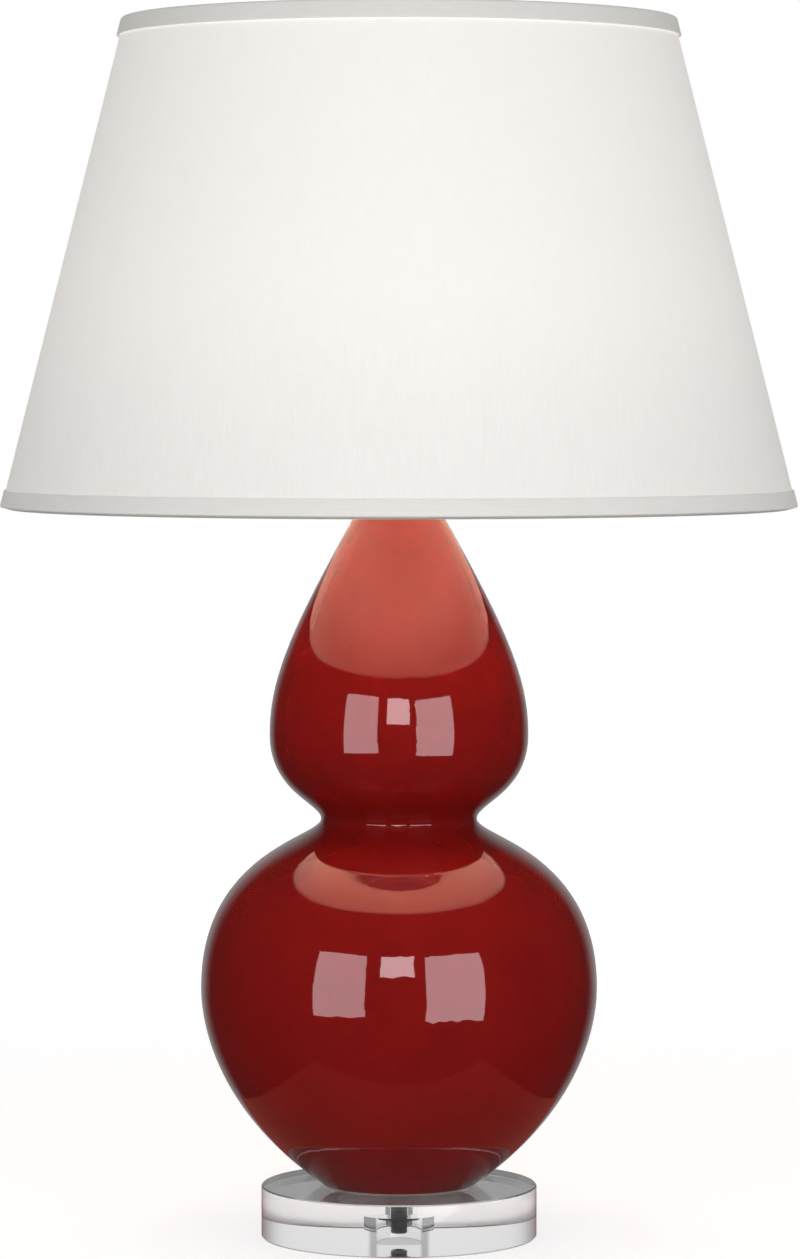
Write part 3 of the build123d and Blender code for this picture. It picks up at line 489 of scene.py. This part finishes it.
# %% The moulded and painted parts
rubber = moulded("bushing_rubber", (0.022, 0.021, 0.020), (0.035, 0.033, 0.031), 0.62, 1600, 0.00003,
                 IOR=1.5)
nylon = moulded("ring_nylon", (0.78, 0.76, 0.70), (0.72, 0.70, 0.64), 0.38, 900, 0.00002, IOR=1.53)
board = moulded("sleeve_board", (0.46, 0.36, 0.24), (0.36, 0.28, 0.18), 0.86, 700, 0.00008, detail=6.0)
phenolic = moulded("black_phenolic", (0.012, 0.011, 0.011), (0.022, 0.02, 0.019), 0.22, 700, 0.00001,
                   IOR=1.63)
insulation = moulded("bulb_insulation", (0.018, 0.019, 0.022), (0.03, 0.03, 0.034), 0.18, 500, 0.00002,
                     IOR=1.52)
enamel = moulded("white_wire", (0.80, 0.79, 0.76), (0.74, 0.73, 0.70), 0.30, 800, 0.00002, IOR=1.5)
liner = moulded("liner_sheet", (0.84, 0.82, 0.78), (0.78, 0.76, 0.72), 0.42, 260, 0.00002, IOR=1.59)
print(len(bpy.data.materials), "materials so far")

# %% [markdown]
# ## The lit bulb
#
# It is frosted inside, so it glows all over, and most where the filament stands behind the frost.

# %% Frosted glass
BULB_GLOW = 50.0
HOT_LEVEL, HOT_EDGE = 0.600, (0.005, 0.05)
BULB_HOT, BULB_WARM = (1.0, 0.50, 0.34), (0.62, 0.30, 0.19)
FROST, FROST_SECOND = (0.86, 0.85, 0.83), (0.80, 0.79, 0.77)
FROST_DEPTH = 0.00002

bulb = Finish("frosted_glass", IOR=1.5, Roughness=0.35, Emission_Strength=BULB_GLOW)
_, _, height = bulb.round_the_axis()
hot = 1 - abs(height - HOT_LEVEL).ramp(*HOT_EDGE)
frost = bulb.noise(bulb.object_place(), 900.0, 3.0)
bulb.wear(Base_Color=bulb.colour(frost, FROST, FROST_SECOND))
bulb.wear(Emission_Color=bulb.colour(hot, BULB_WARM, BULB_HOT))
bulb.bump(frost, FROST_DEPTH)
print("bulb glows at", BULB_GLOW)

# %% [markdown]
# ## Cloth of the shade
#
# A hard-backed empire shade is made flat: white slubbed cloth is laminated to a stiff styrene liner, cut
# to a ring sector, rolled to a cone and lapped at the back. So the threads don't follow the cone's sides:
# they run straight in the flat pattern, upright at the front and more and more aslant towards the back
# seam. To get that, every point of the cloth also remembers where it lay in the flat pattern.

# %% Sizes of the cone
SHADE_BOTTOM_LEVEL, SHADE_TOP_LEVEL = 0.4449, 0.7382
SHADE_BOTTOM_RADIUS, SHADE_TOP_RADIUS = 0.2413, 0.1668
SHADE_RISE = SHADE_TOP_LEVEL - SHADE_BOTTOM_LEVEL
SHADE_LEAN = atan2(SHADE_BOTTOM_RADIUS - SHADE_TOP_RADIUS, SHADE_RISE)
SHADE_SLANT = SHADE_RISE / cos(SHADE_LEAN)
CUT_RADIUS = SHADE_BOTTOM_RADIUS / sin(SHADE_LEAN)
FABRIC_DEPTH, FABRIC_THICKNESS = 0.00105, 0.0006
TAPE_FACE, TAPE_LEG, TAPE_REACH = 0.0104, 0.0080, 0.0076
TAPE_THICKNESS, TAPE_CORNER = 0.0009, 0.0010

def on_cone(along, depth, angle=0.0):
    """Point of the shade's wall: metres up the slant from the bottom rim, depth square to the wall."""
    reach = SHADE_BOTTOM_RADIUS - along * sin(SHADE_LEAN) - depth * cos(SHADE_LEAN)
    level = SHADE_BOTTOM_LEVEL + along * cos(SHADE_LEAN) - depth * sin(SHADE_LEAN)
    return Vector((reach * cos(angle), reach * sin(angle), level))

print("slant", round(SHADE_SLANT, 4), "m, lean", round(SHADE_LEAN * 180 / pi, 2), "degrees")

# %% [markdown]
# One helper sews all three cloths. It starts from a row of points across the cloth at the back of the
# shade, spins that row once round the axis and a little further, and lifts the last stretch clear of the
# first, as a lap. Solidify then gives the cloth its thickness.

# %% Roll a strip of cloth round the lamp's axis
BACK = radians(90)
LAP = 0.012
LAP_RISE = 0.005

def eased(share):
    """0 below 0, 1 above 1, smooth between."""
    share = min(max(share, 0.0), 1.0)
    return share * share * (3 - 2 * share)

def widths(row):
    """Lengths of the steps along a row of (along, depth)."""
    return [sqrt((b[0] - a[0]) ** 2 + (b[1] - a[1]) ** 2) for a, b in zip(row, row[1:])]

def rolled(row, columns, seam, lap, lift, swell=0.0):
    """Cloth whose cross-section is row, a list of (along, depth). seam is the angle where it laps,
    and swell how far it rises over the shade's own seam underneath."""
    cloth = bmesh.new()
    corners = [cloth.verts.new(on_cone(along, depth, seam)) for along, depth in row]
    for before, after in zip(corners, corners[1:]):
        cloth.edges.new((before, after))
    reach = corners[0].co.xy.length
    sweep = 2 * pi + lap / reach
    bmesh.ops.spin(cloth, geom=cloth.verts[:] + cloth.edges[:], axis=(0, 0, 1), cent=(0, 0, 0),
                   angle=sweep, steps=columns)
    cloth.normal_update()
    facing = sum(face.normal.xy.dot(face.calc_center_median().xy) for face in cloth.faces)
    if facing < 0:
        bmesh.ops.reverse_faces(cloth, faces=cloth.faces)
    cloth.verts.ensure_lookup_table()
    lies = cloth.verts.layers.float_vector.new("flat_cloth")
    across = [0.0]
    for width in widths(row):
        across.append(across[-1] + width)
    for vert in cloth.verts:
        column, place = divmod(vert.index, len(row))
        turn = sweep * column / columns
        rise = lift * eased(((turn - 2 * pi) * reach + LAP_RISE) / LAP_RISE)
        arc = abs((seam + turn - BACK + pi) % (2 * pi) - pi) * reach
        rise += swell * eased((LAP + LAP_RISE - arc) / LAP_RISE)
        vert[lies] = (turn, across[place], 0.0)
        aside = vert.co.xy.normalized()
        vert.co += Vector((aside.x * cos(SHADE_LEAN), aside.y * cos(SHADE_LEAN), sin(SHADE_LEAN))) * rise
    return cloth

# %% Turn a rolled cloth into a piece
SOFT_SEGMENTS, SOFT_ANGLE = 3, radians(50)

def sewn(name, cloth, thickness, finish, soften=0.0):
    """Piece on the shade, with its wall's thickness and, where soften is given, rounded edges."""
    mesh = bpy.data.meshes.new(name)
    for face in cloth.faces:
        face.smooth = True
    cloth.to_mesh(mesh)
    cloth.free()
    piece = placed(name, mesh)
    mesh.materials.append(finish.material)
    wall = piece.modifiers.new("thickness", "SOLIDIFY")
    wall.thickness, wall.offset = thickness, -1
    if soften:
        edge = piece.modifiers.new("soft_edge", "BEVEL")
        edge.width, edge.segments = soften, SOFT_SEGMENTS
        edge.limit_method, edge.angle_limit = "ANGLE", SOFT_ANGLE
    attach(piece, "shade")
    print(name, len(mesh.polygons), "faces")
    return piece

# %% [markdown]
# ## The weave
#
# The cloth is a plain weave with faint slubs: the upright threads vary in thickness, so fine streaks run
# up the shade, with a thicker, brighter stretch here and there. The crossing threads are more even. The
# weave is two families of sines. Streaks and slubs are noise, stretched far along the upright threads.

# %% Cloth finish
THREAD = 0.00062
WANDER = 2.2
SLUB_STRETCH, STREAK_STRETCH, CROSSING_STRETCH = (20, 1, 1), (11, 1, 1), (1, 14, 1)
SLUB_TONE, STREAK_TONE, CROSSING_TONE = 0.25, 0.9, 0.3
SLUB_EDGE = (0.54, 0.74)
CLOTH_ROUGH, SLUB_GLOSS = 0.86, 0.1
WEAVE_RELIEF, SLUB_RELIEF, STREAK_RELIEF = 0.35, 0.6, 0.8
WEAVE_DEPTH, WEAVE_STRENGTH = 0.00016, 0.7

def woven(name, cloth_place, white, shade, glow):
    """White plain weave with slubs, on a flat pattern in metres."""
    finish = Finish(name, IOR=1.45, Sheen_Weight=0.15, Sheen_Roughness=0.4, Emission_Strength=glow)
    place = cloth_place(finish)
    across, along, _ = place.parts()
    wander = finish.noise(place, 60.0, 2.0) * WANDER
    upright = (across * (2 * pi / THREAD) + wander).sine()
    sideways = (along * (2 * pi / THREAD) + wander).sine()
    slubs = finish.noise(place.stretched(*SLUB_STRETCH), 30.0, 3.0, 0.6).ramp(*SLUB_EDGE)
    streaks = finish.noise(place.stretched(*STREAK_STRETCH), 50.0, 3.0, 0.7)
    crossing = finish.noise(place.stretched(*CROSSING_STRETCH), 150.0, 2.0, 0.6)
    tone = slubs * SLUB_TONE + (streaks - 0.5) * STREAK_TONE + (crossing - 0.5) * CROSSING_TONE
    finish.wear(Base_Color=finish.colour((0.5 - tone).ramp(0.0, 1.0), white, shade))
    finish.wear(Roughness=CLOTH_ROUGH - slubs * SLUB_GLOSS)
    relief = upright * sideways * WEAVE_RELIEF + slubs * SLUB_RELIEF + streaks * STREAK_RELIEF
    finish.bump(relief, WEAVE_DEPTH, WEAVE_STRENGTH)
    return finish

# %% Where the cloth lay before it was rolled
TAPE_TURN = 0.2

def remembered(finish):
    """Turn round the axis, and metres across the cloth, as rolled() wrote them on every point."""
    told = finish.add("ShaderNodeAttribute", {"attribute_name": "flat_cloth"}, {}, "Vector")
    return told.parts()[:2]

def flat_pattern(finish):
    """Place in the flat ring sector, in metres."""
    turn, across = remembered(finish)
    reach = CUT_RADIUS - across
    swing = (turn - pi) * sin(SHADE_LEAN)
    return finish.joined(reach * swing.sine(), reach * (swing + pi / 2).sine() * -1)

def tape_pattern(finish):
    """Place on a straight tape, in metres, for a rim of about TAPE_TURN metres radius."""
    turn, across = remembered(finish)
    return finish.joined(across, turn * TAPE_TURN)

# %% [markdown]
# The bulb lights the cloth from behind. Real cloth lets that light through; here a warm white emission
# does it, dim at the bottom and even from the bulb's height up. It is brightest in a thin line right under
# the top tape, where the cloth stands free of the wire and the tape's shadow ends.

# %% The two cloths
CLOTH_WHITE, CLOTH_SHADE = (0.76, 0.746, 0.727), (0.69, 0.676, 0.657)
TAPE_WHITE, TAPE_SHADE = (0.83, 0.815, 0.785), (0.76, 0.745, 0.715)
CLOTH_GLOW, TAPE_GLOW = 1.0, 0.035
GLOW_LOW, GLOW_HIGH, GLOW_EDGE = (0.205, 0.196, 0.186), (0.300, 0.288, 0.272), (0.445, 0.59)
UNDER_TAPE = SHADE_TOP_LEVEL - TAPE_FACE * cos(SHADE_LEAN)
LINE_GLOW, LINE_EDGE = (0.42, 0.40, 0.37), (UNDER_TAPE - 0.0016, UNDER_TAPE - 0.0006)

cloth_finish = woven("shade_cloth", flat_pattern, CLOTH_WHITE, CLOTH_SHADE, CLOTH_GLOW)
# The tapes get a faint even glow as well: painted light for the bulb's light through them.
tape_finish = woven("trim_cloth", tape_pattern, TAPE_WHITE, TAPE_SHADE, TAPE_GLOW)
_, _, height = cloth_finish.round_the_axis()
glow = cloth_finish.colour(height.ramp(*GLOW_EDGE), GLOW_LOW, GLOW_HIGH)
glow = cloth_finish.colour(height.ramp(*LINE_EDGE), glow, LINE_GLOW)
cloth_finish.wear(Emission_Color=glow)
print("bright line from", round(LINE_EDGE[0], 4), "m up")

# %% [markdown]
# ## Sewing the shade
#
# The cover is the ring sector itself. Two folded tapes bind its rims: each starts on the outside of the
# shade, goes over the rim and the wire ring, and ends a little higher on the inside.

# %% The cover
RIM_TUCK = 0.00105
COVER_LIFT = 0.00065
COVER_ROWS, COVER_COLUMNS = 25, 480

def spaced(low, high, count):
    return [low + (high - low) * step / (count - 1) for step in range(count)]

cover_row = [(along, FABRIC_DEPTH) for along in spaced(RIM_TUCK, SHADE_SLANT - RIM_TUCK, COVER_ROWS)]
cover = sewn("shade_cover", rolled(cover_row, COVER_COLUMNS, BACK, LAP, COVER_LIFT),
             FABRIC_THICKNESS, cloth_finish)
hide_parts("shade_fabric")

# %% The tapes
TAPE_LAP = 0.014
TAPE_COLUMNS = 360
TAPE_SOFT = 0.0003
CORNER_STEPS = 5
TOP_SEAM, BOTTOM_SEAM = radians(14), radians(11)

def tape_row(rim, way):
    """Cross-section of a tape from its outer edge over the rim to its inner edge. way is 1 at the top
    rim and -1 at the bottom one."""
    row = [(rim - way * share * TAPE_FACE, 0.0) for share in (1.0, 0.75, 0.5, 0.3)]
    for depth, side in ((TAPE_CORNER, -1), (TAPE_REACH - TAPE_CORNER, 1)):
        for step in range(CORNER_STEPS + 1):
            angle = step * pi / 2 / CORNER_STEPS
            angle = angle if side < 0 else pi / 2 - angle
            along = rim - way * TAPE_CORNER * (1 - sin(angle))
            row.append((along, depth + side * TAPE_CORNER * cos(angle)))
    return row + [(rim - way * share * TAPE_LEG, TAPE_REACH) for share in (0.5, 0.75, 1.0)]

def tape(name, rim, way, node, seam):
    """Folded tape round one rim of the shade."""
    row = tape_row(rim, way)
    cloth = rolled(row, TAPE_COLUMNS, seam, TAPE_LAP, TAPE_THICKNESS, FABRIC_THICKNESS)
    piece = sewn(name, cloth, TAPE_THICKNESS, tape_finish, TAPE_SOFT)
    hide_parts(node)
    width = sum(widths(row))
    length = 2 * pi * on_cone(rim, 0).xy.length + TAPE_LAP
    print(name, round(length, 3), "by", round(width, 4), "m")

tape("top_tape", SHADE_SLANT, 1, "shade_top_trim", BACK + TOP_SEAM)
tape("bottom_tape", 0.0, -1, "shade_bottom_trim", BACK - BOTTOM_SEAM)

# %% [markdown]
# ## Dressing the pieces
#
# The CAD pieces carry named slots, so each finish goes to every piece whose slot has its name.

# %% Give every piece its finish
finishes = {
    "clear_acrylic": acrylic, "red_glaze": glaze, "nickel": nickel, "zinc_steel": zinc,
    "bushing_rubber": rubber, "ring_nylon": nylon, "sleeve_board": board, "black_phenolic": phenolic,
    "contact_brass": brass, "bulb_aluminium": aluminium, "bulb_insulation": insulation,
    "frosted_glass": bulb, "shade_cloth": cloth_finish, "trim_cloth": tape_finish,
    "liner_sheet": liner, "white_wire": enamel,
}
for piece in nodes.values():
    for slot in piece.material_slots:
        slot.material = finishes[slot.material.name.split(".")[0]].material
print(len(finishes), "finishes given out")

# %% [markdown]
# ## A film of air
#
# In the CAD, the washer's top and the ceiling of the counterbore are the same plane. Light that gets
# between two such faces never comes out again, and the joint shows black through the disc. Real faces
# touch at a few points and have air between them. So the dressed washer is a copy whose top lies a hair's
# breadth lower.

# %% Seat the washer on air
AIR_FILM = 0.00004
WASHER_TOP = 0.0160
SAME_POINT = 0.000001

thinned = bmesh.new()
thinned.from_mesh(nodes["base_washer"].data)
bmesh.ops.remove_doubles(thinned, verts=thinned.verts, dist=SAME_POINT)
top_verts = [vert for vert in thinned.verts if vert.co.z > WASHER_TOP - AIR_FILM]
bmesh.ops.translate(thinned, verts=top_verts, vec=(0, 0, -AIR_FILM))
washer_mesh = nodes["base_washer"].data.copy()
thinned.to_mesh(washer_mesh)
thinned.free()
washer = placed("seated_washer", washer_mesh)
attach(washer, "stand")
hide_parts("base_washer")
print(len(top_verts), "corners of the washer lowered")
